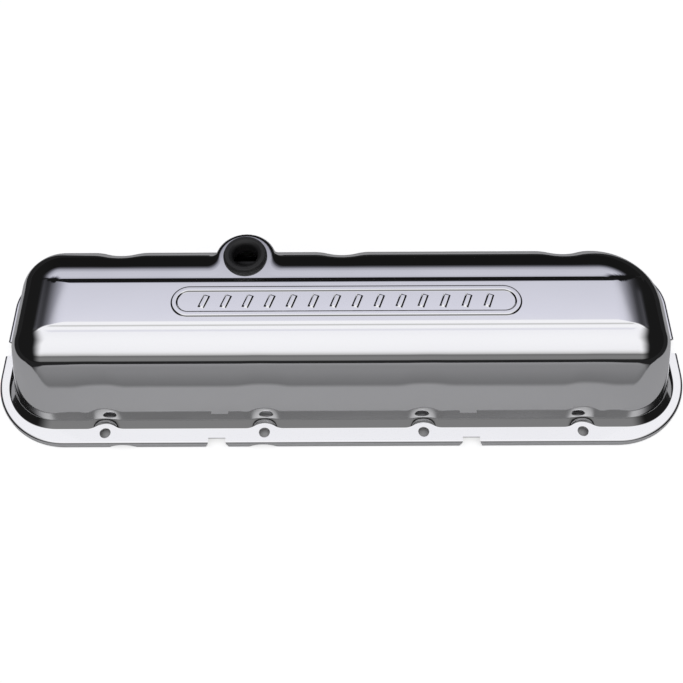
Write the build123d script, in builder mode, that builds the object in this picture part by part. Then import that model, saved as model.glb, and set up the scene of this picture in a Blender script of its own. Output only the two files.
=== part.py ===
from build123d import *

import os
from math import atan, cos, pi, radians, sin, sqrt, tan

# Deep-drawn steel valve cover with a rubber breather grommet and an oil baffle.
# Millimetres. X runs along the engine, Y across it, +Z up. The origin is the middle of
# the plane that the flange lip stands on. The front of the cover faces -Y.

# sheet steel
sheet = 1.2

# flange and its turned-down lip
flange_length = 544.0
flange_width = 164.0
flange_top = 6.4
lip_bend_radius = 2.0
flange_front_corner = 59.0
flange_back_corner = 40.0

# body walls, measured from the flange edge to the line where wall and flange would meet
wall_inset = 16.4
draft = 12.0
end_inset = 12.3
end_draft = 15.0
body_height = 80.0
front_shoulder = 23.0
back_shoulder = 30.0
end_shoulder = 30.0
front_corner = 40.5
front_corner_top = 7.0
back_left_corner = 46.0
back_left_corner_top = 5.0
corner_clearance = 1.0

# sloping band that joins the walls to the flange
foot_height = 4.6
foot_angle = 42.0

# bolts, set out from the ends of the flange
bolt_hole = 7.8
bolt_edge = 9.0
front_bolt_count = 4
front_bolt_end = 87.6
front_bolt_shift = 2.0
back_bolt_count = 3
back_bolt_end = 102.3
back_bolt_shift = 1.0

# flutes in the walls that clear the bolt heads
front_flute_width = 29.0
front_flute_spread = 17.0
front_flute_depth = 4.6
front_flute_blend = 11.0
front_flute_draft = 0.4
front_flute_fade = 2.5
back_flute_width = 42.0
back_flute_depth = 5.0
back_flute_fade = 6.0
back_flute_blend = 22.0

# raised panel on the roof
panel_height = 2.0
panel_front = -29.0
panel_back = 17.0
panel_end_run = 15.3
panel_end_ease = 0.9
panel_step_radius = 5.0
panel_step_angle = 30.0

# plain embossed frame and ribs on the panel
frame_x = 4.0
frame_y = -5.5
frame_length = 256.0
frame_width = 26.0
frame_band = 4.6
rib_width = 4.6
rib_height = 11.0
rib_pitch = 16.0
rib_count = 14
rib_lean = 20.0
relief = 1.0
relief_edge = 0.6

# boss for the breather grommet
boss_x = -72.0
boss_y = 36.0
boss_flat_radius = 18.6
boss_edge_radius = 4.0
boss_draft = 3.0
boss_blend = 8.0
boss_foot_width = 6.0
boss_fade = 0.8
grommet_hole = 25.4

# gasket tab notches in the flange edge, and scallops in the front lip
notch_top_width = 13.2
notch_lip_width = 17.7
notch_depth = 4.6
notch_x = 97.8
end_notch_y = 2.0
scallop_width = 21.0
scallop_height = 4.0
scallop_places = (-168.5, -60.5)

# breather grommet
grommet_bore = 19.0
grommet_head = 33.0
grommet_top = 31.6
grommet_head_height = 4.2
grommet_step_height = 2.2
grommet_grip = 31.0
grommet_grip_height = 6.0
grommet_round = 1.0
grommet_crease = 0.7
grommet_taper = 1.5

# oil baffle
baffle_sheet = 1.0
baffle_length = 76.0
baffle_drop = 20.0
baffle_front = -18.0
baffle_weld_width = 26.0
baffle_back_gap = 4.0
baffle_rim = 6.0
baffle_tab = 10.0
baffle_bend = 2.0
baffle_drain = 6.0

# worked out
roof_top = flange_top + body_height
foot_run = foot_height / tan(radians(foot_angle))
front_bolt_pitch = (flange_length - 2 * front_bolt_end) / (front_bolt_count - 1)
back_bolt_pitch = (flange_length - 2 * back_bolt_end) / (back_bolt_count - 1)
front_y = -flange_width / 2 + bolt_edge
back_y = flange_width / 2 - bolt_edge
least_depth = 0.01
overlap = 1.0
buried = 6.0
outline_spacing = 6.0
front_side = (wall_inset, draft, front_shoulder)
back_side = (wall_inset, draft, back_shoulder)
end_side = (end_inset, end_draft, end_shoulder)


def inset_at(z, gap, side):
    """How far the wall stands in from the flange edge at height z, on a form shrunk by gap."""
    base, lean, shoulder = side
    slope = tan(radians(lean))
    turn = tan(radians(45 - lean / 2))
    foot = flange_top - gap
    roof = roof_top - gap
    start = base + gap / cos(radians(lean)) - gap * slope
    top_arc = shoulder - gap
    arc_start = roof - top_arc * (1 - sin(radians(lean)))
    if z <= foot:
        return base + foot_height * slope - foot_run + gap * tan(radians(foot_angle / 2))
    if z > arc_start:
        rise = min(z - roof + top_arc, top_arc)
        return start + (roof - foot) * slope + top_arc * turn - sqrt(top_arc**2 - rise**2)
    return start + (z - foot) * slope


def roof_inset(gap, side):
    """How far in from the flange edge the flat of the roof begins."""
    return inset_at(roof_top - gap, gap, side)


def boss_radius_at(z, gap):
    """Radius of the boss at height z."""
    edge = boss_edge_radius
    lean = radians(boss_draft)
    centre = roof_top - edge
    radius = boss_flat_radius - gap
    lift = min(z + gap - centre, edge)
    if lift > edge * sin(lean):
        return radius + sqrt(edge**2 - lift**2)
    return radius + edge * cos(lean) + (edge * sin(lean) - lift) * tan(lean)


def s_radii(width, depth):
    """The two radii of an S-curved bump, added together."""
    return width / 2 / sin(2 * atan(2 * depth / width))


def ramp(height, blend):
    """Follows height where it is above zero and fades smoothly to nothing below."""
    return (height + sqrt(height**2 + blend**2)) / 2


def bolt_places(count, pitch, shift):
    """Places along X of a row of bolts."""
    return [shift + (i - (count - 1) / 2) * pitch for i in range(count)]


def bump(centre, line, half_width, depth, blend_share, way):
    """An S-curved bump on a straight wall: two blend arcs and a crown, way +1 or -1 in Y."""
    depth = max(depth, least_depth)
    sweep_angle = 2 * atan(depth / half_width)
    total = half_width / sin(sweep_angle)
    blend = total * blend_share
    crown = total - blend
    half = []
    for share in (0, 0.5, 1):
        angle = sweep_angle * share
        half.append((-half_width + blend * sin(angle), blend * (1 - cos(angle))))
    for share in (0.5, 0):
        angle = sweep_angle * share
        half.append((-crown * sin(angle), depth - crown * (1 - cos(angle))))
    whole = half + [(-x, y) for x, y in reversed(half[:-1])]
    return [(centre + x, line + way * y) for x, y in whole]


def side_of_body(start, end, line, bumps):
    """One long side from start to end, broken by bumps, as edges in the open BuildLine."""
    here = (start, line)
    run = (1, 0) if end > start else (-1, 0)
    for points in bumps:
        if end < start:
            points = points[::-1]
        Line(here, points[0])
        Spline(points, tangents=[run, run], tangent_scalars=[1, 1])
        here = points[-1]
    Line(here, (end, line))


def corner_at(inset, roof, base_radius, top_radius):
    """Radius of a body corner that changes evenly as the end wall leans in."""
    share = (inset - end_inset) / (roof - end_inset)
    return base_radius + (top_radius - base_radius) * share


def front_flutes(z, line, gap):
    """The flutes in the front wall: upright, so they die out as the wall leans back."""
    share = (z + gap - flange_top) / body_height
    half_width = (front_flute_width + front_flute_spread * sin(pi * share) ** 2) / 2
    steepness = tan(radians(draft)) - tan(radians(front_flute_draft))
    depth = ramp(front_flute_depth - steepness * (z + gap - flange_top), front_flute_fade)
    blend = (front_flute_blend - gap) / s_radii(front_flute_width, front_flute_depth)
    places = bolt_places(front_bolt_count, front_bolt_pitch, front_bolt_shift)
    return [bump(x, line, half_width, depth, blend, 1) for x in places]


def back_flutes(z, line, gap):
    """The flutes in the back wall, which run up to the shoulder."""
    share = min((z + gap - flange_top) / body_height, 1)
    depth = back_flute_depth * (1 - share**back_flute_fade)
    blend = (back_flute_blend - gap) / s_radii(back_flute_width, back_flute_depth)
    places = bolt_places(back_bolt_count, back_bolt_pitch, back_bolt_shift)
    return [bump(x, line, back_flute_width / 2, depth, blend, -1) for x in places]


def boss_bulge(z, line, gap):
    """The bulge in the back wall where the grommet's boss reaches past it."""
    radius = boss_radius_at(z, gap)
    blend = boss_blend + gap
    reach = (radius + blend) ** 2 - (line + blend - boss_y) ** 2
    half_width = sqrt(max(reach, 0) + boss_foot_width**2)
    depth = ramp(boss_y + radius - line, boss_fade)
    return bump(boss_x, line, half_width, depth, blend / (radius + blend), 1)


def body_outline(z, gap):
    """Closed outline of the body at height z, on a form shrunk by gap."""
    end = inset_at(z, gap, end_side)
    roof = roof_inset(gap, end_side)
    half = flange_length / 2 - end
    front = inset_at(z, gap, front_side) - flange_width / 2
    back = flange_width / 2 - inset_at(z, gap, back_side)
    last_bolt = (back_bolt_count - 1) / 2 * back_bolt_pitch + back_bolt_shift
    right = half - last_bolt - back_flute_width / 2 - corner_clearance
    left = corner_at(end, roof, back_left_corner, back_left_corner_top)
    low = corner_at(end, roof, front_corner, front_corner_top)
    back_bumps = back_flutes(z, back, gap) + [boss_bulge(z, back, gap)]
    back_bumps.sort(key=lambda points: -points[0][0])
    with BuildLine() as outline:
        side_of_body(-half + low, half - low, front, front_flutes(z, front, gap))
        CenterArc((half - low, front + low), low, -90, 90)
        Line((half, front + low), (half, back - right))
        CenterArc((half - right, back - right), right, 0, 90)
        side_of_body(half - right, -half + left, back, back_bumps)
        CenterArc((-half + left, back - left), left, 90, 90)
        Line((-half, back - left), (-half, front + low))
        CenterArc((-half + low, front + low), low, 180, 90)
    return outline.line


def foot_top_at(gap):
    """Height at which the sloping band meets the wall, on a form shrunk by gap."""
    band = radians(foot_angle)
    wall = radians(draft)
    drop = gap * (cos(band) + sin(wall)) / (1 + sin(band + wall))
    return flange_top + foot_height - drop


def body_heights(gap):
    """Heights at which the body's outline is drawn, evenly spaced along the wall's section."""
    low = foot_top_at(gap)
    roof = roof_top - gap
    top_arc = max(front_shoulder, back_shoulder, end_shoulder) - gap
    high = roof - top_arc * (1 - sin(radians(draft)))
    wall_steps = max(round((high - low) / outline_spacing), 1)
    heights = [low + (high - low) * k / wall_steps for k in range(wall_steps)]
    sweep_angle = radians(90 - draft)
    top_steps = max(round(top_arc * sweep_angle / outline_spacing), 2)
    for k in range(top_steps + 1):
        angle = radians(draft) + sweep_angle * k / top_steps
        heights.append(roof - top_arc * (1 - sin(angle)))
    return heights


def flange_outline(gap):
    """Flange plan with larger corners at the front, shrunk by gap."""
    with BuildSketch() as plan:
        Rectangle(flange_length - 2 * gap, flange_width - 2 * gap)
        fillet(plan.vertices().group_by(Axis.Y)[0], flange_front_corner - gap)
        fillet(plan.vertices().group_by(Axis.Y)[-1], flange_back_corner - gap)
    return plan.sketch


def panel_solid(gap):
    """The raised roof panel: S-shaped steps along it, and ends that run into the shoulders."""
    top = roof_top + panel_height - gap
    roof = roof_top - gap
    bottom = roof - buried
    angle = radians(panel_step_angle)
    low_arc = panel_step_radius + gap
    high_arc = panel_step_radius - gap
    curve_rise = (low_arc + high_arc) * (1 - cos(angle))
    slant = max(panel_height - curve_rise, 0) / tan(angle)
    lean = gap * tan(angle / 2)
    sides = []
    for foot, way in ((panel_front - lean, 1), (panel_back + lean, -1)):
        foot_y = foot + way * 2 * lean
        bend = (foot_y + way * low_arc * sin(angle), roof + low_arc * (1 - cos(angle)))
        crown = (bend[0] + way * slant, top - high_arc * (1 - cos(angle)))
        flat = (crown[0] + way * high_arc * sin(angle), top)
        sides.append(((foot_y, roof), bend, crown, flat))
    front, back = sides
    roof_end = flange_length / 2 - roof_inset(0, end_side)
    flat_end = roof_end - panel_end_run
    end_drop = (panel_end_run**2 + panel_height**2) / (2 * panel_height) * panel_end_ease
    arc = end_shoulder + end_drop - gap
    merge = atan(panel_end_run / (end_drop - panel_height))
    reach = flat_end + arc * sin(merge)
    drop = top - arc * (1 - cos(merge))
    with BuildPart(mode=Mode.PRIVATE) as panel:
        with BuildSketch(Plane.YZ.offset(-flange_length / 2)):
            with BuildLine():
                TangentArc(front[0], front[1], tangent=(1, 0))
                Line(front[1], front[2])
                TangentArc(front[3], front[2], tangent=(-1, 0))
                Line(front[3], back[3])
                TangentArc(back[3], back[2], tangent=(1, 0))
                Line(back[2], back[1])
                TangentArc(back[0], back[1], tangent=(-1, 0))
                Polyline(back[0], (back[0][0], bottom), (front[0][0], bottom), front[0])
            make_face()
        extrude(amount=flange_length)
        with BuildSketch(Plane.XZ.offset(-flange_width / 2)):
            with BuildLine():
                TangentArc((flat_end, top), (reach, drop), tangent=(1, 0))
                TangentArc((-flat_end, top), (-reach, drop), tangent=(-1, 0))
                Line((-flat_end, top), (flat_end, top))
                Polyline((reach, drop), (reach, bottom), (-reach, bottom), (-reach, drop))
            make_face()
        extrude(amount=flange_width, mode=Mode.INTERSECT)
    return panel.part


def emboss(gap):
    """The frame and its slanting ribs, raised from the panel, on a form shrunk by gap."""
    top = roof_top + panel_height + relief - gap
    with BuildPart(mode=Mode.PRIVATE) as pattern:
        with BuildSketch(Plane.XY.offset(top - relief - overlap)):
            with Locations((frame_x, frame_y)):
                SlotOverall(frame_length - 2 * gap, frame_width - 2 * gap)
                inner = frame_width - 2 * frame_band + 2 * gap
                SlotOverall(frame_length - 2 * frame_band + 2 * gap, inner, mode=Mode.SUBTRACT)
                with GridLocations(rib_pitch, 1, rib_count, 1):
                    width = rib_width - 2 * gap
                    height = rib_height - 2 * gap
                    Rectangle(width, height, rotation=-rib_lean)
        extrude(amount=relief + overlap)
        if gap == 0:
            fillet(pattern.edges().group_by(Axis.Z)[-1], relief_edge)
    return pattern.part


def body_solid(gap):
    """The drawn body: a sloping band at the foot, then walls that round over to the roof."""
    heights = body_heights(gap)
    with BuildPart(mode=Mode.PRIVATE) as walls:
        for z in heights:
            with BuildSketch(Plane.XY.offset(z)):
                add(body_outline(z, gap))
                make_face()
        loft()
    with BuildPart(mode=Mode.PRIVATE) as band:
        for z in (flange_top - gap, heights[0]):
            with BuildSketch(Plane.XY.offset(z)):
                add(body_outline(z, gap))
                make_face()
        loft(ruled=True)
    return walls.part + band.part


def drawn_form(gap):
    """The solid that fills the cover: its outside at gap 0, its inside at gap = sheet."""
    with BuildPart(mode=Mode.PRIVATE) as form:
        add(flange_outline(gap))
        extrude(amount=flange_top - gap)
        fillet(form.edges().group_by(Axis.Z)[-1], lip_bend_radius - gap)
        add(body_solid(gap))
        add(panel_solid(gap))
        add(emboss(gap))
    return form.part


def notch_profile():
    """The cut for one gasket tab, standing on the lip's rim."""
    lip = notch_lip_width / 2
    top = notch_top_width / 2
    high = flange_top + overlap
    with BuildSketch(mode=Mode.PRIVATE) as profile:
        with BuildLine():
            Polyline((-top, flange_top), (-lip, 0), (-lip, -overlap), (lip, -overlap), (lip, 0))
            Polyline((lip, 0), (top, flange_top), (top, high), (-top, high), (-top, flange_top))
        make_face()
    return profile.sketch


# the sheet is the space between the outside and the inside, closed by the lip's rim
outside = drawn_form(0)
inside = drawn_form(sheet)
with BuildSketch() as rim:
    add(flange_outline(0))
    add(flange_outline(sheet), mode=Mode.SUBTRACT)
sheet_faces = outside.faces().sort_by(Axis.Z)[1:] + inside.faces().sort_by(Axis.Z)[1:]
pressing = Solid(Shell(sheet_faces + rim.faces()))

with BuildPart() as cover_shell:
    add(pressing)
    with BuildSketch(Plane.XY.offset(flange_top)):
        with Locations((front_bolt_shift, front_y)):
            with GridLocations(front_bolt_pitch, 1, front_bolt_count, 1):
                Circle(bolt_hole / 2)
        with Locations((back_bolt_shift, back_y)):
            with GridLocations(back_bolt_pitch, 1, back_bolt_count, 1):
                Circle(bolt_hole / 2)
    extrude(amount=-2 * sheet, mode=Mode.SUBTRACT)

    # breather hole in the boss
    with BuildSketch(Plane.XY.offset(roof_top)):
        with Locations((boss_x, boss_y)):
            Circle(grommet_hole / 2)
    extrude(amount=-2 * sheet, mode=Mode.SUBTRACT)

    # notches for the gasket tabs, wider at the lip than in the flange
    notch_cut = notch_depth + overlap
    left_notch = front_bolt_shift - notch_x
    right_notch = front_bolt_shift + notch_x
    for way in (-1, 1):
        with BuildSketch(Plane.XZ.offset(way * (flange_width / 2 + overlap))):
            with Locations((left_notch, 0), (right_notch, 0)):
                add(notch_profile())
        extrude(amount=-way * notch_cut, mode=Mode.SUBTRACT)
        with BuildSketch(Plane.YZ.offset(way * (flange_length / 2 + overlap))):
            with Locations((end_notch_y, 0)):
                add(notch_profile())
        extrude(amount=-way * notch_cut, mode=Mode.SUBTRACT)

    # shallow scallops in the front lip
    scallop_radius = (scallop_width**2 / 4 + scallop_height**2) / (2 * scallop_height)
    with BuildSketch(Plane.XZ.offset(flange_width / 2 + overlap)):
        with Locations(*[(x, scallop_height - scallop_radius) for x in scallop_places]):
            Circle(scallop_radius)
    extrude(amount=-(lip_bend_radius + overlap), mode=Mode.SUBTRACT)

cover_shell.part.label = "cover_shell"


# rubber grommet: its groove holds the edge of the hole, its bore takes the breather's neck
with BuildPart() as breather_grommet:
    seat = Plane((boss_x, boss_y, roof_top), x_dir=(1, 0, 0), z_dir=(0, -1, 0))
    low = -sheet - grommet_grip_height
    with BuildSketch(seat) as section:
        with BuildLine():
            Polyline(
                (grommet_bore / 2, low),
                (grommet_grip / 2 - grommet_taper, low),
                (grommet_grip / 2, low + grommet_grip_height / 2),
                (grommet_grip / 2, -sheet),
                (grommet_hole / 2, -sheet),
                (grommet_hole / 2, 0),
                (grommet_head / 2, 0),
                (grommet_head / 2, grommet_step_height),
                (grommet_top / 2 - grommet_crease, grommet_step_height),
                (grommet_top / 2, grommet_step_height + grommet_crease),
                (grommet_top / 2, grommet_head_height),
                (grommet_bore / 2, grommet_head_height),
                close=True,
            )
        make_face()
        outer = section.vertices().filter_by(
            lambda v: v.X > boss_x + grommet_grip / 2 + 0.01 and v.Z > roof_top - 0.01
        )
        fillet(outer, grommet_round)
    revolve(axis=Axis((boss_x, boss_y, 0), (0, 0, 1)))

breather_grommet.part.label = "breather_grommet"


# oil baffle: a folded tray welded to the underside of the panel, below the grommet
with BuildPart() as oil_baffle:
    ceiling = roof_top + panel_height - sheet
    floor = roof_top - baffle_drop
    half = baffle_length / 2
    rim_top = floor + baffle_rim
    inner_wall = flange_width / 2 - inset_at(rim_top, sheet, back_side)
    baffle_back = inner_wall - baffle_back_gap
    with BuildSketch(Plane.XZ.offset(-baffle_front)):
        with BuildLine():
            FilletPolyline(
                (boss_x - half - baffle_tab, ceiling),
                (boss_x - half, ceiling),
                (boss_x - half, floor),
                (boss_x + half, floor),
                (boss_x + half, ceiling),
                (boss_x + half + baffle_tab, ceiling),
                radius=baffle_bend,
            )
            offset(amount=baffle_sheet, side=Side.RIGHT)
        make_face()
    extrude(amount=-baffle_weld_width)
    with BuildSketch(Plane.XZ.offset(-baffle_front)):
        with BuildLine():
            FilletPolyline(
                (boss_x - half, rim_top),
                (boss_x - half, floor),
                (boss_x + half, floor),
                (boss_x + half, rim_top),
                radius=baffle_bend,
            )
            offset(amount=baffle_sheet, side=Side.RIGHT)
        make_face()
    extrude(amount=-(baffle_back - baffle_front))
    with BuildSketch(Plane.XZ.offset(-baffle_back)):
        with Locations((boss_x, floor - baffle_sheet)):
            width = baffle_length + 2 * baffle_sheet
            Rectangle(width, baffle_rim + baffle_sheet, align=(Align.CENTER, Align.MIN))
    extrude(amount=-baffle_sheet)
    with BuildSketch(Plane.XY.offset(floor)):
        with Locations((boss_x, baffle_back - baffle_bend - baffle_drain)):
            Circle(baffle_drain / 2)
    extrude(amount=-2 * baffle_sheet, mode=Mode.SUBTRACT)

oil_baffle.part.label = "oil_baffle"


os.makedirs("parts", exist_ok=True)
for piece in (cover_shell, breather_grommet, oil_baffle):
    print(piece.part.label, "volume", round(piece.part.volume), "solids", len(piece.part.solids()))
    export_step(piece.part, f"parts/{piece.part.label}.step")
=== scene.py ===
import math

import bmesh
import bpy
from mathutils import Matrix


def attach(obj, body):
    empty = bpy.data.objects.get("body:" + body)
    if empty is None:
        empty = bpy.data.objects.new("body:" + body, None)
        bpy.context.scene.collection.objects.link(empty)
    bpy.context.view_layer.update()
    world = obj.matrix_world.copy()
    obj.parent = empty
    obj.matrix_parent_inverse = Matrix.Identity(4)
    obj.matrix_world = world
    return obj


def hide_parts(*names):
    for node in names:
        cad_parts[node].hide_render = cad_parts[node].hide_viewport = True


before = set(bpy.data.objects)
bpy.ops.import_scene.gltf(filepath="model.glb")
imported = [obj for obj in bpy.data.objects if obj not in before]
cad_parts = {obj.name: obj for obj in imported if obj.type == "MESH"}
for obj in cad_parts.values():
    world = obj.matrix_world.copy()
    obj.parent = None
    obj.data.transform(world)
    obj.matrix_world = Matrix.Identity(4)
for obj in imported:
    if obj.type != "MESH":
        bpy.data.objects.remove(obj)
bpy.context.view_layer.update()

scene = bpy.context.scene
print("frame loaded")

# node helpers


def addNode(tree, kind, **inputs):
    node = tree.nodes.new(kind)
    for name, value in inputs.items():
        socket = node.inputs[name.replace("_", " ")]
        if hasattr(value, "is_linked"):
            tree.links.new(value, socket)
        else:
            socket.default_value = value
    return node


def addMath(tree, operation, first, second=0.0, clamp=False):
    node = tree.nodes.new("ShaderNodeMath")
    node.operation = operation
    node.use_clamp = clamp
    for socket, value in zip(node.inputs, (first, second)):
        if hasattr(value, "is_linked"):
            tree.links.new(value, socket)
        else:
            socket.default_value = value
    return node.outputs[0]


def addRamp(tree, factor, stops):
    node = tree.nodes.new("ShaderNodeValToRGB")
    tree.links.new(factor, node.inputs[0])
    elements = node.color_ramp.elements
    while len(elements) < len(stops):
        elements.new(0.5)
    for element, (place, colour) in zip(elements, stops):
        element.position = place
        element.color = (*colour, 1.0)
    return node.outputs[0]


def mixColour(tree, factor, first, second):
    node = tree.nodes.new("ShaderNodeMix")
    node.data_type = "RGBA"
    for name, value in (("Factor", factor), ("A", first), ("B", second)):
        socket = [s for s in node.inputs if s.name == name and s.enabled][0]
        if hasattr(value, "is_linked"):
            tree.links.new(value, socket)
        else:
            socket.default_value = value
    return [s for s in node.outputs if s.enabled][0]


# camera

cameraView = {
    "place": (0.0003, -0.3587, 0.6409),
    "tilt": 30.0,          # degrees up from straight down
    "roll": -0.25,
    "focal": 47.33,
    "sensor": 36.0,
}

cameraData = bpy.data.cameras.new("camera")
cameraData.sensor_width = cameraView["sensor"]
cameraData.lens = cameraView["focal"]
cameraData.clip_start = 0.01
camera = bpy.data.objects.new("camera", cameraData)
scene.collection.objects.link(camera)
tilted = Matrix.Rotation(math.radians(cameraView["tilt"]), 3, "X")
rolled = Matrix.Rotation(math.radians(cameraView["roll"]), 3, "Z")
camera.location = cameraView["place"]
camera.rotation_euler = (tilted @ rolled).to_euler()
scene.camera = camera
scene.view_settings.view_transform = "Standard"
print("camera placed")

# studio: soft white overhead, dark surroundings behind and at the ends

studio = {
    "frontStops": (        # brightness by Z over the length of (Y, Z)
        (0.00, (0.02, 0.02, 0.02)), (0.11, (0.02, 0.02, 0.02)), (0.19, (0.20, 0.20, 0.20)),
        (0.45, (0.21, 0.21, 0.21)), (0.655, (0.16, 0.16, 0.16)), (0.69, (0.45, 0.45, 0.45)),
        (0.75, (0.64, 0.64, 0.64)), (0.81, (0.83, 0.83, 0.84)), (0.86, (0.92, 0.92, 0.94)),
        (1.00, (0.96, 0.96, 0.98)),
    ),
    "backStops": (
        (0.00, (0.008, 0.008, 0.008)), (0.69, (0.008, 0.008, 0.008)), (0.755, (0.11, 0.11, 0.13)),
        (0.814, (0.41, 0.41, 0.47)), (0.824, (0.56, 0.56, 0.63)), (0.831, (0.63, 0.63, 0.71)),
        (0.853, (0.72, 0.72, 0.81)), (0.862, (0.81, 0.81, 0.86)), (0.875, (0.92, 0.92, 0.95)),
        (1.00, (0.96, 0.96, 0.98)),
    ),
    "turnFrom": -0.25,     # where the front look gives way to the back look
    "turnTo": 0.20,
    "sideFrom": (0.42, 0.36),      # where the light ends towards left and right,
    "sideTo": (0.74, 0.68),        # in front and behind
    "darkTone": (0.01, 0.01, 0.01),
    "leastReach": 0.02,    # keeps the two divisions below from running away
    "strength": 1.0,
}

world = bpy.data.worlds.new("studio")
scene.world = world
world.use_nodes = True
tree = world.node_tree
direction = tree.nodes.new("ShaderNodeTexCoord").outputs["Generated"]
axes = addNode(tree, "ShaderNodeSeparateXYZ", Vector=direction)
across = addMath(tree, "POWER", axes.outputs["X"], 2.0)
along = addMath(tree, "POWER", axes.outputs["Y"], 2.0)
reach = addMath(tree, "SQRT", addMath(tree, "ADD", across, along))
reach = addMath(tree, "MAXIMUM", reach, studio["leastReach"])
bearing = addMath(tree, "DIVIDE", axes.outputs["Y"], reach)
turn = addNode(
    tree, "ShaderNodeMapRange", Value=bearing, From_Min=studio["turnFrom"], From_Max=studio["turnTo"],
)
upright = addMath(tree, "POWER", axes.outputs["Z"], 2.0)
tall = addMath(tree, "SQRT", addMath(tree, "ADD", upright, along))
tall = addMath(tree, "MAXIMUM", tall, studio["leastReach"])
height = addMath(tree, "DIVIDE", axes.outputs["Z"], tall)
frontLook = addRamp(tree, height, studio["frontStops"])
backLook = addRamp(tree, height, studio["backStops"])
bothLooks = mixColour(tree, turn.outputs[0], frontLook, backLook)
sideways = addMath(tree, "ABSOLUTE", axes.outputs["X"])
sideLimits = [
    addMath(tree, "ADD", near, addMath(tree, "MULTIPLY", turn.outputs[0], far - near))
    for near, far in (studio["sideFrom"], studio["sideTo"])
]
side = addNode(
    tree, "ShaderNodeMapRange", Value=sideways, From_Min=sideLimits[0], From_Max=sideLimits[1],
)
side.interpolation_type = "SMOOTHSTEP"
litColour = mixColour(tree, side.outputs[0], bothLooks, (*studio["darkTone"], 1))
seenDirectly = tree.nodes.new("ShaderNodeLightPath").outputs["Is Camera Ray"]
skyColour = mixColour(tree, seenDirectly, litColour, (1, 1, 1, 1))
background = tree.nodes["Background"]
background.inputs["Strength"].default_value = studio["strength"]
tree.links.new(skyColour, background.inputs["Color"])

floorCard = {
    "halfSize": 6.0,
    "drop": 0.0002,
    "cardX": 0.38, "cardY": 0.118,      # edge of the pale card under the cover
    "frontX": 0.28,                     # half the length of the tones before and behind it
    "sideTone": (0.04, 0.04, 0.04),
    "tones": (             # tone by distance in front of the card and behind it, in metres
        (0.000, (0.69, 0.69, 0.69)), (0.002, (0.34, 0.34, 0.34)), (0.022, (0.53, 0.53, 0.53)),
        (0.150, (0.67, 0.67, 0.67)), (0.300, (0.67, 0.67, 0.67)), (0.360, (0.05, 0.05, 0.05)),
        (1.000, (0.05, 0.05, 0.05)),
    ),
    "shadeX": 0.262, "shadeY": 0.0743, "shadeCorner": 0.05,     # the shade under the cover
    "edgeBlur": 0.03,
    "seenTone": (0.9, 0.9, 0.9),        # what the camera sees, and how much it glows
    "seenWhite": 0.64, "seenShade": 0.0,
}

floorMesh = bpy.data.meshes.new("floor")
shape = bmesh.new()
bmesh.ops.create_grid(shape, x_segments=1, y_segments=1, size=floorCard["halfSize"])
bmesh.ops.translate(shape, vec=(0, 0, -floorCard["drop"]), verts=shape.verts)
shape.to_mesh(floorMesh)
shape.free()
floor = bpy.data.objects.new("floor", floorMesh)
scene.collection.objects.link(floor)

floorPaper = bpy.data.materials.new("floorPaper")
floorPaper.use_nodes = True
tree = floorPaper.node_tree
tree.nodes.clear()
place = addNode(tree, "ShaderNodeSeparateXYZ", Vector=tree.nodes.new("ShaderNodeTexCoord").outputs["Object"])
fromMiddleX = addMath(tree, "ABSOLUTE", place.outputs["X"])
fromMiddleY = addMath(tree, "ABSOLUTE", place.outputs["Y"])
overX = addMath(tree, "SUBTRACT", fromMiddleX, floorCard["cardX"])
overY = addMath(tree, "SUBTRACT", fromMiddleY, floorCard["cardY"])
pastSide = addNode(tree, "ShaderNodeMapRange", Value=overX, From_Min=0.0, From_Max=floorCard["edgeBlur"])
overFront = addMath(tree, "SUBTRACT", fromMiddleX, floorCard["frontX"])
pastFront = addNode(tree, "ShaderNodeMapRange", Value=overFront, From_Min=0.0, From_Max=floorCard["edgeBlur"])
beyondCard = addMath(tree, "MULTIPLY", pastFront.outputs[0], addMath(tree, "GREATER_THAN", overY, 0.0))
darkness = addMath(tree, "MAXIMUM", pastSide.outputs[0], beyondCard)
lengthways = addRamp(tree, overY, floorCard["tones"])
paperColour = mixColour(tree, darkness, lengthways, (*floorCard["sideTone"], 1))
paper = addNode(tree, "ShaderNodeBsdfDiffuse", Color=paperColour)
cameraPaper = addNode(tree, "ShaderNodeBsdfDiffuse", Color=(*floorCard["seenTone"], 1))
shadeCorner = floorCard["shadeCorner"]
underX = addMath(tree, "SUBTRACT", fromMiddleX, floorCard["shadeX"] - shadeCorner)
underY = addMath(tree, "SUBTRACT", fromMiddleY, floorCard["shadeY"] - shadeCorner)
roundX = addMath(tree, "POWER", addMath(tree, "MAXIMUM", underX, 0.0), 2.0)
roundY = addMath(tree, "POWER", addMath(tree, "MAXIMUM", underY, 0.0), 2.0)
outside = addMath(tree, "GREATER_THAN", addMath(tree, "ADD", roundX, roundY), shadeCorner**2)
whiteness = addNode(
    tree, "ShaderNodeMapRange", Value=outside, To_Min=floorCard["seenShade"], To_Max=floorCard["seenWhite"],
)
white = addNode(tree, "ShaderNodeEmission", Color=(1, 1, 1, 1), Strength=whiteness.outputs[0])
seen = tree.nodes.new("ShaderNodeAddShader")
tree.links.new(cameraPaper.outputs[0], seen.inputs[0])
tree.links.new(white.outputs[0], seen.inputs[1])
either = tree.nodes.new("ShaderNodeMixShader")
tree.links.new(tree.nodes.new("ShaderNodeLightPath").outputs["Is Camera Ray"], either.inputs[0])
tree.links.new(paper.outputs[0], either.inputs[1])
tree.links.new(seen.outputs[0], either.inputs[2])
tree.links.new(either.outputs[0], tree.nodes.new("ShaderNodeOutputMaterial").inputs["Surface"])
floorMesh.materials.append(floorPaper)
print("studio lit")

# finishes


def newMaterial(name):
    material = bpy.data.materials.new(name)
    material.use_nodes = True
    tree = material.node_tree
    place = tree.nodes.new("ShaderNodeTexCoord").outputs["Object"]
    return material, tree, tree.nodes["Principled BSDF"], place


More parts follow.
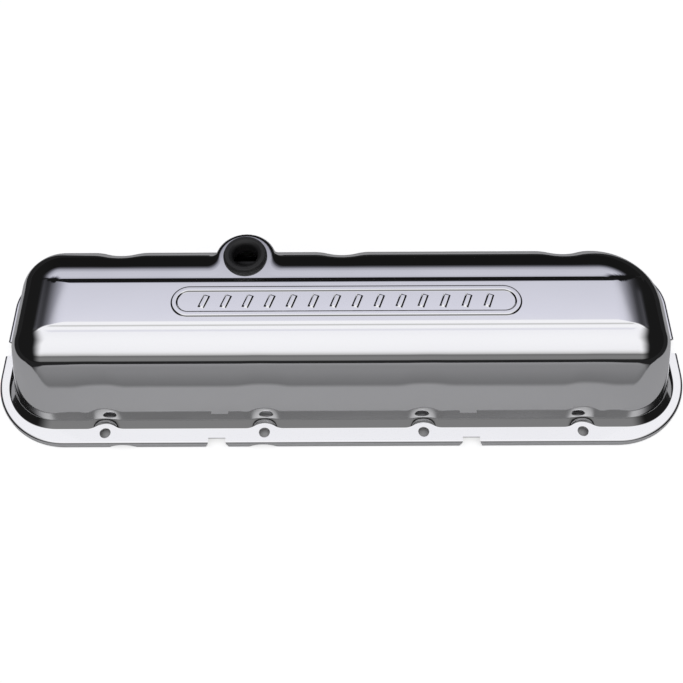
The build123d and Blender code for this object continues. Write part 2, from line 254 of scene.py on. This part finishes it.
chrome = {
    "tone": (0.94, 0.94, 0.95), "toneWorn": (0.91, 0.91, 0.925),
    "roughness": (0.035, 0.07),
    "hazeScale": 9.0, "hazeRange": (0.35, 0.7),
    "waveScale": 22.0, "waveHeight": 0.00006,
}
chromePlate, tree, shader, place = newMaterial("chromePlate")
haze = addNode(tree, "ShaderNodeTexNoise", Vector=place, Scale=chrome["hazeScale"], Detail=4.0)
roughness = addNode(
    tree, "ShaderNodeMapRange", Value=haze.outputs[0],
    From_Min=chrome["hazeRange"][0], From_Max=chrome["hazeRange"][1],
    To_Min=chrome["roughness"][0], To_Max=chrome["roughness"][1],
)
wave = addNode(tree, "ShaderNodeTexNoise", Vector=place, Scale=chrome["waveScale"], Detail=1.0)
bump = addNode(tree, "ShaderNodeBump", Height=wave.outputs[0], Strength=1.0, Distance=chrome["waveHeight"])
tone = mixColour(tree, haze.outputs[0], (*chrome["tone"], 1), (*chrome["toneWorn"], 1))
tree.links.new(tone, shader.inputs["Base Color"])
tree.links.new(roughness.outputs[0], shader.inputs["Roughness"])
tree.links.new(bump.outputs[0], shader.inputs["Normal"])
shader.inputs["Metallic"].default_value = 1.0

rubber = {
    "tone": (0.022, 0.022, 0.024), "toneDusty": (0.035, 0.035, 0.036),
    "roughness": 0.48, "dustScale": 60.0,
    "grainScale": 900.0, "grainHeight": 0.00004, "grainStrength": 0.5,
}
blackRubber, tree, shader, place = newMaterial("blackRubber")
grain = addNode(tree, "ShaderNodeTexNoise", Vector=place, Scale=rubber["grainScale"], Detail=3.0)
dust = addNode(tree, "ShaderNodeTexNoise", Vector=place, Scale=rubber["dustScale"], Detail=4.0)
bump = addNode(
    tree, "ShaderNodeBump", Height=grain.outputs[0],
    Strength=rubber["grainStrength"], Distance=rubber["grainHeight"],
)
tone = mixColour(tree, dust.outputs[0], (*rubber["tone"], 1), (*rubber["toneDusty"], 1))
tree.links.new(tone, shader.inputs["Base Color"])
tree.links.new(bump.outputs[0], shader.inputs["Normal"])
shader.inputs["Roughness"].default_value = rubber["roughness"]

steel = {
    "tone": (0.035, 0.035, 0.037), "toneDark": (0.020, 0.020, 0.021),
    "roughness": (0.28, 0.42), "grainRange": (0.3, 0.7),
    "grainScale": 140.0, "grainHeight": 0.00002, "grainStrength": 0.6, "grainSqueeze": 0.08,
}
bareSteel, tree, shader, place = newMaterial("bareSteel")
stretch = addNode(tree, "ShaderNodeMapping", Vector=place, Scale=(steel["grainSqueeze"], 1.0, 1.0))
grain = addNode(tree, "ShaderNodeTexNoise", Vector=stretch.outputs[0], Scale=steel["grainScale"], Detail=4.0)
roughness = addNode(
    tree, "ShaderNodeMapRange", Value=grain.outputs[0],
    From_Min=steel["grainRange"][0], From_Max=steel["grainRange"][1],
    To_Min=steel["roughness"][0], To_Max=steel["roughness"][1],
)
bump = addNode(
    tree, "ShaderNodeBump", Height=grain.outputs[0],
    Strength=steel["grainStrength"], Distance=steel["grainHeight"],
)
tone = mixColour(tree, grain.outputs[0], (*steel["toneDark"], 1), (*steel["tone"], 1))
tree.links.new(tone, shader.inputs["Base Color"])
tree.links.new(roughness.outputs[0], shader.inputs["Roughness"])
tree.links.new(bump.outputs[0], shader.inputs["Normal"])
shader.inputs["Metallic"].default_value = 1.0
print("finishes made")

# the pressing: rings from the lip's rim up to the roof, in millimetres

cover = {
    "sheet": 1.2,
    "halfLength": 272.0, "halfWidth": 82.0, "flangeTop": 6.4, "lipBend": 2.0,
    "flangeFrontCorner": 59.0, "flangeBackCorner": 40.0,
    "front": (16.4, 12.0, 27.26, 14.0, 36.0),    # inset, lean, the shoulder's two radii
    "back": (16.4, 12.0, 30.0, 30.0, 45.0),      # and the slope at which they meet
    "end": (12.3, 15.0, 30.0, 30.0, 45.0),
    "bodyHeight": 80.0,
    "frontCorner": (40.5, 7.0),        # corner radii at the foot and at the roof
    "backLeftCorner": (46.0, 5.0),
    "bandHeight": 5.2, "bandAngle": 45.0, "lowBend": 1.1, "highBend": 1.8,
    "frontBolts": (-182.4, -59.467, 63.467, 186.4), "frontBoltY": -73.0,
    "backBolts": (-168.7, 1.0, 170.7), "backBoltY": 73.0,
    "boltHole": 7.8, "holeRound": 0.5,
    "notchX": (-95.8, 99.8), "notchEndY": 2.0, "notchDepth": 4.6,
    "notchTop": 13.2, "notchLip": 17.7,
    "scallops": (-168.5, -60.5), "scallopWidth": 21.0, "scallopHeight": 4.0,
    "sharpAngle": 34.0,
}
flute = {
    "frontWidth": 29.0, "frontSpread": 17.0, "frontDepth": 4.6, "frontBlend": 11.0,
    "frontFoot": (3.2, 2.2), "frontWall": (1.4, 26.0),     # depth, and the height it fades over
    "backWidth": 42.0, "backDepth": 5.0, "backFade": 6.0, "backBlend": 22.0,
    "cornerClearance": 1.0,
}
boss = {
    "x": -72.0, "y": 36.0, "flat": 18.6, "edge": 4.0, "lean": 3.0, "blend": 8.0,
    "footWidth": 6.0, "fade": 0.8, "hole": 25.4,
}
panel = {
    "height": 2.0, "front": -27.8, "back": 16.6, "endRun": 15.3, "endEase": 0.9,
    "stepRadius": 4.0, "stepAngle": 41.4, "softEnd": 0.25,
}
detail = {                 # how finely the rings are divided and stacked
    "corner": 30, "rightCorner": 40, "end": 44, "gap": 8, "flute": 20, "boss": 36,
    "wall": 11, "shoulder": 26, "stepSpan": 5.3, "step": 14, "endIn": 17.0,
    "endPull": 0.12, "roofCorner": 3.0, "flat": 4, "settle": (0.6, 2.1), "panelAbove": 8,
    "lip": (0.0, 1.5, 3.0), "lipTurn": 6, "footOut": (1.2, 0.3), "lowBend": 4, "highBend": 5,
    "beside": 0.3, "wallStart": 0.4, "hole": 48, "holeRound": 4, "bore": 96, "scallop": 160,
}


def slopeOf(degrees):
    return math.tan(math.radians(degrees))


def insetAt(height, side):       # height above the flange
    base, lean, topRadius, lowRadius, meet = side
    band, wall = math.radians(cover["bandAngle"]), math.radians(90 - lean)
    lowBend, highBend, bandTop = cover["lowBend"], cover["highBend"], cover["bandHeight"]
    foot = base + bandTop * (slopeOf(lean) - 1 / math.tan(band))
    highRun = highBend * math.tan((wall - band) / 2)
    highStart = bandTop - highRun * math.sin(band)
    if height < lowBend * (1 - math.cos(band)):
        angle = math.acos(1 - height / lowBend)
        return foot + lowBend * (math.sin(angle) - math.tan(band / 2))
    if height < highStart:
        return foot + height / math.tan(band)
    if height < bandTop + highRun * math.sin(wall):
        angle = math.acos(math.cos(band) - (height - highStart) / highBend)
        return foot + highStart / math.tan(band) + highBend * (math.sin(angle) - math.sin(band))
    meet = math.radians(meet)
    meetDrop = topRadius * (1 - math.cos(meet))
    shoulderDrop = meetDrop + lowRadius * (math.cos(meet) - math.cos(wall))
    meetRun = topRadius * math.sin(meet)
    shoulderRun = meetRun + lowRadius * (math.sin(wall) - math.sin(meet))
    drop = max(cover["bodyHeight"] - height, 0)
    if drop > shoulderDrop:
        return base + height * slopeOf(lean)
    roof = base + (cover["bodyHeight"] - shoulderDrop) * slopeOf(lean) + shoulderRun
    if drop < meetDrop:
        return roof - topRadius * math.sin(math.acos(1 - drop / topRadius))
    angle = math.acos(math.cos(meet) - (drop - meetDrop) / lowRadius)
    return roof - meetRun - lowRadius * (math.sin(angle) - math.sin(meet))


def fadeOut(height, blend):
    return (height + math.sqrt(height**2 + blend**2)) / 2


def blendShare(width, depth, blend):
    return blend * math.sin(2 * math.atan(2 * depth / width)) * 2 / width


def straight(start, end, line, count):
    return [(start + (end - start) * k / count, line) for k in range(count)]


def closeAtEnds(start, end, line, count):       # closer together near both ends
    pull = detail["endPull"]
    shares = [k / count - pull * math.sin(2 * math.pi * k / count) for k in range(count)]
    return [(line, start + (end - start) * share) for share in shares]


def bulge(centre, line, bump, towards, along, count):       # blend, crown, blend
    halfWidth, depth, share = bump
    sweep = 2 * math.atan(max(depth, 0.001) / halfWidth)
    total = halfWidth / math.sin(sweep)
    blend, crown = total * share, total * (1 - share)
    points = []
    for k in range(count):
        part = 2 * k / count
        side = -along if part <= 1 else along
        part = min(part, 2 - part)
        if part < 0.5:
            angle = sweep * part * 2
            out, up = halfWidth - blend * math.sin(angle), blend * (1 - math.cos(angle))
        else:
            angle = sweep * (1 - part) * 2
            out, up = crown * math.sin(angle), depth - crown * (1 - math.cos(angle))
        points.append((centre + side * out, line + towards * up))
    return points


def corner(centreX, centreY, radius, start, count):
    turns = [math.radians(start + 90 * k / count) for k in range(count)]
    return [(centreX + radius * math.cos(t), centreY + radius * math.sin(t)) for t in turns]


def ringPoints(ring):
    half, front, back = ring["half"], ring["front"], ring["back"]
    low, right, left = ring["corners"]
    gap, turn = detail["gap"], detail["corner"]
    points, here = [], low - half
    for x in cover["frontBolts"]:
        points += straight(here, x - ring["frontFlute"][0], front, gap)
        points += bulge(x, front, ring["frontFlute"], 1, 1, detail["flute"])
        here = x + ring["frontFlute"][0]
    points += straight(here, half - low, front, gap)
    points += corner(half - low, front + low, low, -90, turn)
    points += closeAtEnds(front + low, back - right, half, detail["end"])
    points += corner(half - right, back - right, right, 0, detail["rightCorner"])
    bumps = [(x, ring["backFlute"], -1, detail["flute"]) for x in cover["backBolts"]]
    bumps.append((boss["x"], ring["boss"], 1, detail["boss"]))
    here = half - right
    for x, bump, towards, count in sorted(bumps, key=lambda each: -each[0]):
        points += straight(here, x + bump[0], back, gap)
        points += bulge(x, back, bump, towards, -1, count)
        here = x - bump[0]
    points += straight(here, left - half, back, gap)
    points += corner(left - half, back - left, left, 90, turn)
    points += closeAtEnds(back - left, front + low, -half, detail["end"])
    points += corner(low - half, front + low, low, 180, turn)
    return [(x, y, ring["z"]) for x, y in points]


def cornerAt(inset, radii):
    base, top = cover["end"][0], insetAt(cover["bodyHeight"], cover["end"])
    return radii[0] + (radii[1] - radii[0]) * (inset - base) / (top - base)


def bodyRing(height, outward=0.0):
    share = height / cover["bodyHeight"]
    endInset = insetAt(height, cover["end"]) - outward
    half = cover["halfLength"] - endInset
    front = insetAt(height, cover["front"]) - outward - cover["halfWidth"]
    back = cover["halfWidth"] - insetAt(height, cover["back"]) + outward
    frontWidth = (flute["frontWidth"] + flute["frontSpread"] * math.sin(math.pi * share) ** 2) / 2
    depths = (flute["frontFoot"], flute["frontWall"])
    frontDepth = sum(depth * math.exp(-height / fade) for depth, fade in depths)
    frontShare = blendShare(flute["frontWidth"], flute["frontDepth"], flute["frontBlend"])
    backShare = blendShare(flute["backWidth"], flute["backDepth"], flute["backBlend"])
    backDepth = flute["backDepth"] * (1 - share ** flute["backFade"])
    lean = math.radians(boss["lean"])
    lift = min(height - cover["bodyHeight"] + boss["edge"], boss["edge"])
    if lift > boss["edge"] * math.sin(lean):
        radius = boss["flat"] + math.sqrt(boss["edge"] ** 2 - lift**2)
    else:
        drop = boss["edge"] * math.sin(lean) - lift
        radius = boss["flat"] + boss["edge"] * math.cos(lean) + drop * math.tan(lean)
    reach = (radius + boss["blend"]) ** 2 - (back + boss["blend"] - boss["y"]) ** 2
    bossWidth = math.sqrt(max(reach, 0) + boss["footWidth"] ** 2)
    bossDepth = fadeOut(boss["y"] + radius - back, boss["fade"])
    right = half - cover["backBolts"][-1] - flute["backWidth"] / 2 - flute["cornerClearance"]
    left, low = cornerAt(endInset, cover["backLeftCorner"]), cornerAt(endInset, cover["frontCorner"])
    return {
        "z": cover["flangeTop"] + height, "half": half, "front": front, "back": back,
        "corners": (low, right, left),
        "frontFlute": (frontWidth, frontDepth, frontShare),
        "backFlute": (flute["backWidth"] / 2, backDepth, backShare),
        "boss": (bossWidth, bossDepth, boss["blend"] / (radius + boss["blend"])),
    }


def flangeRing(inset, z):
    ring = bodyRing(0)
    flat = {name: (ring[name][0], 0, ring[name][2]) for name in ("frontFlute", "backFlute", "boss")}
    high = cover["flangeBackCorner"] - inset
    return ring | flat | {
        "z": z, "half": cover["halfLength"] - inset,
        "front": inset - cover["halfWidth"], "back": cover["halfWidth"] - inset,
        "corners": (cover["flangeFrontCorner"] - inset, high, high),
    }


def roofRing(step, stepCount, inFront, inBack):
    ring = bodyRing(cover["bodyHeight"])
    share = step / stepCount
    corners = [radius + (detail["roofCorner"] - radius) * share for radius in ring["corners"]]
    width, depth, blend = ring["boss"]
    keep = max(1 - step / detail["flat"], 0)
    return ring | {
        "half": ring["half"] - detail["endIn"] * share,
        "front": ring["front"] + inFront, "back": ring["back"] - inBack,
        "corners": corners, "boss": (width, (depth + inBack) * keep, blend),
        "frontFlute": (ring["frontFlute"][0] * (1 - share / 2), 0, 0.5),
        "backFlute": (ring["backFlute"][0] * (1 - share / 2), 0, 0.5),
    }


def stepHeight(inside):
    radius, angle = panel["stepRadius"], math.radians(panel["stepAngle"])
    run, rise = radius * math.sin(angle), radius * (1 - math.cos(angle))
    slant = max(panel["height"] - 2 * rise, 0) / math.tan(angle)
    if inside >= 2 * run + slant:
        return panel["height"]
    if inside > run + slant:
        return panel["height"] - radius + math.sqrt(radius**2 - (2 * run + slant - inside) ** 2)
    if inside > run:
        return rise + (inside - run) * math.tan(angle)
    return radius - math.sqrt(radius**2 - inside**2)


def withPanel(x, y, z):
    roof = cover["flangeTop"] + cover["bodyHeight"]
    inside = min(y - panel["front"], panel["back"] - y)
    roofEnd = cover["halfLength"] - insetAt(cover["bodyHeight"], cover["end"])
    flatEnd = roofEnd - panel["endRun"]
    drop = (panel["endRun"] ** 2 + panel["height"] ** 2) / (2 * panel["height"]) * panel["endEase"]
    radius = cover["end"][2] + drop
    over = abs(x) - flatEnd
    merge = radius * math.sin(math.atan(panel["endRun"] / (drop - panel["height"])))
    if inside <= 0 or over > merge + 1 or z < roof - detail["panelAbove"]:
        return z
    top = roof + stepHeight(inside)
    if over > 0:
        top = min(top, roof + panel["height"] - radius + math.sqrt(radius**2 - over**2))
    near = max(0.0, 1 - abs(over - merge) / (merge - panel["endRun"])) * panel["softEnd"]
    return (z + top + math.sqrt((z - top) ** 2 + near**2)) / 2


def coverRings():
    top, bend, beside = cover["flangeTop"], cover["lipBend"], detail["beside"]
    stack = [flangeRing(0, z) for z in (*detail["lip"], top - bend - beside)]
    for k in range(detail["lipTurn"] + 1):
        angle = math.radians(90 * k / detail["lipTurn"])
        stack.append(flangeRing(bend * (1 - math.cos(angle)), top - bend + bend * math.sin(angle)))
    stack.append(flangeRing(bend + beside, top))
    stack += [bodyRing(0, outward) for outward in detail["footOut"]]
    band, wall = math.radians(cover["bandAngle"]), math.radians(90 - cover["front"][1])
    lowBend, highBend, bandTop = cover["lowBend"], cover["highBend"], cover["bandHeight"]
    highRun = highBend * math.tan((wall - band) / 2)
    highStart, highEnd = bandTop - highRun * math.sin(band), bandTop + highRun * math.sin(wall)
    turns = detail["lowBend"]
    heights = [lowBend * (1 - math.cos(band * k / turns)) for k in range(turns + 1)]
    heights += [heights[-1] + beside, bandTop / 2, highStart - beside]
    for k in range(detail["highBend"] + 1):
        angle = band + (wall - band) * k / detail["highBend"]
        heights.append(highStart + highBend * (math.cos(band) - math.cos(angle)))
    low = highEnd + detail["wallStart"]
    shoulder, lean = cover["end"][2], math.pi / 2 - wall
    high = cover["bodyHeight"] - shoulder * (1 - math.sin(lean))
    heights += [low + (high - low) * k / detail["wall"] for k in range(detail["wall"])]
    for k in range(detail["shoulder"] + 1):
        angle = lean + wall * k / detail["shoulder"]
        heights.append(cover["bodyHeight"] - shoulder * (1 - math.sin(angle)))
    stack += [bodyRing(height) for height in heights]
    roof = stack[-1]
    toFront, toBack = panel["front"] - roof["front"], roof["back"] - panel["back"]
    span, count, flat = detail["stepSpan"], detail["step"], detail["flat"]
    moves = [(toFront * k / flat, toBack * k / flat) for k in range(1, flat + 1)]
    moves += [(toFront + span * k / count, toBack + span * k / count) for k in range(1, count + 1)]
    moves += [(toFront + span + more, toBack + span + more) for more in detail["settle"]]
    for step, (inFront, inBack) in enumerate(moves, 1):
        stack.append(roofRing(step, len(moves), inFront, inBack))
    return stack


def newObject(name, shape):
    mesh = bpy.data.meshes.new(name)
    shape.to_mesh(mesh)
    shape.free()
    made = bpy.data.objects.new(name, mesh)
    scene.collection.objects.link(made)
    return made


def finishPiece(piece, material, slot, sharpAngle, *nodes):
    piece.data.transform(Matrix.Scale(0.001, 4))       # millimetres to metres
    piece.data.shade_smooth()
    piece.data.set_sharp_from_angle(angle=math.radians(sharpAngle))
    piece.data.materials.clear()
    piece.data.materials.append(material)
    weighted = piece.modifiers.new("weightedNormals", "WEIGHTED_NORMAL")
    weighted.keep_sharp = True
    weighted.weight = 50
    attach(piece, "root")
    if nodes:
        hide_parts(*nodes)


def cutAway(piece, cutter):
    cuts = piece.modifiers.new("cuts", "BOOLEAN")
    cuts.operation = "DIFFERENCE"
    cuts.solver = "EXACT"
    cuts.object = cutter
    graph = bpy.context.evaluated_depsgraph_get()
    mesh = bpy.data.meshes.new_from_object(piece.evaluated_get(graph))
    mesh.name = piece.name
    piece.modifiers.clear()
    piece.data = mesh
    bpy.data.objects.remove(cutter)


def turned(profile, x, y, steps):       # a closed turned form about an upright axis
    shape = bmesh.new()
    corners = [shape.verts.new((radius, 0, z)) for radius, z in profile]
    edges = [shape.edges.new(pair) for pair in zip(corners, corners[1:])]
    bmesh.ops.spin(
        shape, geom=corners + edges, axis=(0, 0, 1), cent=(0, 0, 0), dvec=(0, 0, 0),
        angle=2 * math.pi, steps=steps, use_merge=True, use_duplicate=False,
    )
    bmesh.ops.remove_doubles(shape, verts=shape.verts, dist=0.0001)
    bmesh.ops.recalc_face_normals(shape, faces=shape.faces)
    bmesh.ops.translate(shape, vec=(x, y, 0), verts=shape.verts)
    return shape


def together(shapes):
    whole, carrier = bmesh.new(), bpy.data.meshes.new("carrier")
    for shape in shapes:
        shape.to_mesh(carrier)
        shape.free()
        whole.from_mesh(carrier)
    bpy.data.meshes.remove(carrier)
    return whole


def notchCut(x, y, turn):
    shape = bmesh.new()
    bmesh.ops.create_cube(shape, size=1.0)
    depth, top, low = cover["notchDepth"] + 1, cover["flangeTop"] + 1, -1.0
    spread = (cover["notchLip"] - cover["notchTop"]) / 2 / cover["flangeTop"]
    for vert in shape.verts:
        height = top if vert.co.z > 0 else low
        width = cover["notchTop"] / 2 + spread * (cover["flangeTop"] - height)
        vert.co = (math.copysign(width, vert.co.x), depth if vert.co.y > 0 else 0.0, height)
    bmesh.ops.translate(shape, vec=(0, -depth + 1, 0), verts=shape.verts)
    bmesh.ops.rotate(shape, matrix=Matrix.Rotation(math.radians(turn), 3, "Z"), verts=shape.verts)
    bmesh.ops.translate(shape, vec=(x, y, 0), verts=shape.verts)
    return shape


def scallopCut(x):
    radius = (cover["scallopWidth"] ** 2 / 4 + cover["scallopHeight"] ** 2) / (2 * cover["scallopHeight"])
    shape = bmesh.new()
    bmesh.ops.create_cone(
        shape, cap_ends=True, segments=detail["scallop"], radius1=radius, radius2=radius,
        depth=cover["lipBend"] + 1,
    )
    bmesh.ops.rotate(shape, matrix=Matrix.Rotation(math.radians(90), 3, "X"), verts=shape.verts)
    middle = -cover["halfWidth"] - 1 + (cover["lipBend"] + 1) / 2
    bmesh.ops.translate(shape, vec=(x, middle, cover["scallopHeight"] - radius), verts=shape.verts)
    return shape


shape = bmesh.new()
for number, ring in enumerate(coverRings()):
    points = ringPoints(ring)
    if number == 0:
        loop = [shape.verts.new(point) for point in points]
        edges = [shape.edges.new(pair) for pair in zip(loop, loop[1:] + loop[:1])]
    else:
        made = bmesh.ops.extrude_edge_only(shape, edges=edges)["geom"]
        fresh = {vert for vert in made if isinstance(vert, bmesh.types.BMVert)}
        sides = [[edge for edge in vert.link_edges if edge.other_vert(vert) in fresh] for vert in loop]
        loop = [side[0].other_vert(vert) for side, vert in zip(sides, loop)]
        edges = [shape.edges.get(pair) for pair in zip(loop, loop[1:] + loop[:1])]
    for vert, (x, y, z) in zip(loop, points):
        vert.co = (x, y, withPanel(x, y, z))
bmesh.ops.contextual_create(shape, geom=edges)
bmesh.ops.recalc_face_normals(shape, faces=shape.faces)
coverPressing = newObject("coverPressing", shape)
wall = coverPressing.modifiers.new("wall", "SOLIDIFY")
wall.thickness = cover["sheet"]
wall.offset = -1.0
wall.use_even_offset = True
print("pressing drawn,", len(coverPressing.data.polygons), "faces on its outside")

holeRadius, holeRound = cover["boltHole"] / 2, cover["holeRound"]
holeTop = cover["flangeTop"]
holeProfile = [(0, 0), (holeRadius, 0)]
for k in range(detail["holeRound"] + 1):
    angle = math.radians(90 - 90 * k / detail["holeRound"])
    across, up = holeRound * (1 - math.sin(angle)), holeRound * math.cos(angle)
    holeProfile.append((holeRadius + across, holeTop - holeRound + up))
holeProfile += [(holeRadius + holeRound, holeTop + 1), (0, holeTop + 1)]
cuts = [turned(holeProfile, x, cover["frontBoltY"], detail["hole"]) for x in cover["frontBolts"]]
cuts += [turned(holeProfile, x, cover["backBoltY"], detail["hole"]) for x in cover["backBolts"]]
roofTop = cover["flangeTop"] + cover["bodyHeight"]
boreRadius, boreLow, boreHigh = boss["hole"] / 2, roofTop - boss["edge"], roofTop + boss["edge"]
boreProfile = [(0, boreLow), (boreRadius, boreLow), (boreRadius, boreHigh), (0, boreHigh)]
cuts.append(turned(boreProfile, boss["x"], boss["y"], detail["bore"]))
cuts += [notchCut(x, cover["halfWidth"], 0) for x in cover["notchX"]]
cuts += [notchCut(x, -cover["halfWidth"], 180) for x in cover["notchX"]]
cuts += [notchCut(cover["halfLength"], cover["notchEndY"], -90)]
cuts += [notchCut(-cover["halfLength"], cover["notchEndY"], 90)]
cuts += [scallopCut(x) for x in cover["scallops"]]
cutAway(coverPressing, newObject("cuts", together(cuts)))
finishPiece(coverPressing, chromePlate, "chrome_plate", cover["sharpAngle"], "cover_shell")
print("holes and notches cut,", len(coverPressing.data.polygons), "faces")

# the plain frame and slanting ribs raised on the panel

relief = {
    "x": 4.0, "y": -5.5, "length": 257.2, "width": 27.2, "band": 5.8,
    "ribWidth": 5.8, "ribHeight": 12.2, "ribPitch": 16.0, "ribCount": 14, "ribLean": 20.0,
    "height": 1.0, "buried": 0.1, "slope": 1.7, "slopeSteps": 10, "turnSteps": 128,
    "sharpAngle": 60.0,
}


def stadiumLoop(shape, length, width):
    made = bmesh.ops.create_circle(shape, segments=relief["turnSteps"], radius=width / 2)["verts"]
    for vert in made:
        vert.co.x += math.copysign((length - width) / 2, vert.co.x)
    return list({edge for vert in made for edge in vert.link_edges})


def raiseSoftly(shape, base, height, run, steps):       # an S-shaped slope round the faces
    bmesh.ops.translate(shape, vec=(0, 0, base), verts=shape.verts)
    rises = [height * (1 - math.cos(math.pi * k / steps)) / 2 for k in range(steps + 1)]
    faces = shape.faces[:]
    for before, after in zip(rises, rises[1:]):
        bmesh.ops.inset_region(
            shape, faces=faces, thickness=run / steps, depth=after - before,
            use_even_offset=True, use_boundary=True,
        )


panelTop = roofTop + panel["height"]
base, height = panelTop - relief["buried"], relief["height"] + relief["buried"]
shape = bmesh.new()
outerLoop = stadiumLoop(shape, relief["length"], relief["width"])
narrowing = 2 * relief["band"]
innerLoop = stadiumLoop(shape, relief["length"] - narrowing, relief["width"] - narrowing)
bmesh.ops.bridge_loops(shape, edges=outerLoop + innerLoop)
for face in shape.faces:
    if face.normal.z < 0:
        face.normal_flip()
raiseSoftly(shape, base, height, relief["slope"], relief["slopeSteps"])
bmesh.ops.translate(shape, vec=(relief["x"], relief["y"], 0), verts=shape.verts)
raised = [shape]
for number in range(relief["ribCount"]):
    shape = bmesh.new()
    bmesh.ops.create_grid(shape, x_segments=1, y_segments=1, size=0.5)
    bmesh.ops.scale(shape, vec=(relief["ribWidth"], relief["ribHeight"], 1), verts=shape.verts)
    raiseSoftly(shape, base, height, relief["slope"], relief["slopeSteps"])
    lean = Matrix.Rotation(math.radians(-relief["ribLean"]), 3, "Z")
    bmesh.ops.rotate(shape, matrix=lean, verts=shape.verts)
    place = relief["x"] + (number - (relief["ribCount"] - 1) / 2) * relief["ribPitch"]
    bmesh.ops.translate(shape, vec=(place, relief["y"], 0), verts=shape.verts)
    raised.append(shape)
panelRibs = newObject("panelRibs", together(raised))
finishPiece(panelRibs, chromePlate, "chrome_plate", relief["sharpAngle"])
print("frame and ribs raised")

# the rubber grommet, in millimetres above the roof

grommet = {
    "profile": (           # radius, height, rounding
        (9.5, -7.2, 0.4), (14.0, -7.2, 0.3), (15.5, -4.2, 0.5), (15.5, -1.2, 0.3), (12.7, -1.2, 0),
        (12.7, 0.0, 0), (16.5, 0.0, 0.4), (16.5, 2.2, 0.9), (15.25, 2.2, 0.25), (15.8, 2.8, 0.3),
        (15.8, 4.2, 1.0), (12.3, 4.2, 0.5), (9.5, 2.4, 1.6),
    ),
    "steps": 120, "roundSteps": 5, "sharpAngle": 30.0,
}
shape = bmesh.new()
corners = [shape.verts.new((radius, 0, height)) for radius, height, rounding in grommet["profile"]]
for pair in zip(corners, corners[1:] + corners[:1]):
    shape.edges.new(pair)
for vert, (radius, height, rounding) in zip(corners, grommet["profile"]):
    if rounding:
        bmesh.ops.bevel(
            shape, geom=[vert], offset=rounding, segments=grommet["roundSteps"], profile=0.5,
            affect="VERTICES", material=-1,
        )
bmesh.ops.spin(
    shape, geom=shape.verts[:] + shape.edges[:], axis=(0, 0, 1), cent=(0, 0, 0), dvec=(0, 0, 0),
    angle=2 * math.pi, steps=grommet["steps"], use_merge=True, use_duplicate=False,
)
bmesh.ops.remove_doubles(shape, verts=shape.verts, dist=0.0001)
bmesh.ops.recalc_face_normals(shape, faces=shape.faces)
bmesh.ops.translate(shape, vec=(boss["x"], boss["y"], roofTop), verts=shape.verts)
breatherGrommet = newObject("breatherGrommet", shape)
finishPiece(breatherGrommet, blackRubber, "rubber", grommet["sharpAngle"], "breather_grommet")
print("grommet turned")

# the baffle, a merged and smoothed copy of the fixed one

baffle = {
    "mergeWithin": 0.000002, "sharpAngle": 26.0,
}
shape = bmesh.new()
shape.from_mesh(bpy.data.objects["oil_baffle"].data)
bmesh.ops.remove_doubles(shape, verts=shape.verts, dist=baffle["mergeWithin"])
bmesh.ops.scale(shape, vec=(1000, 1000, 1000), verts=shape.verts)
oilBaffle = newObject("oilBaffle", shape)
finishPiece(oilBaffle, bareSteel, "bare_steel", baffle["sharpAngle"], "oil_baffle")
print("pieces dressed")
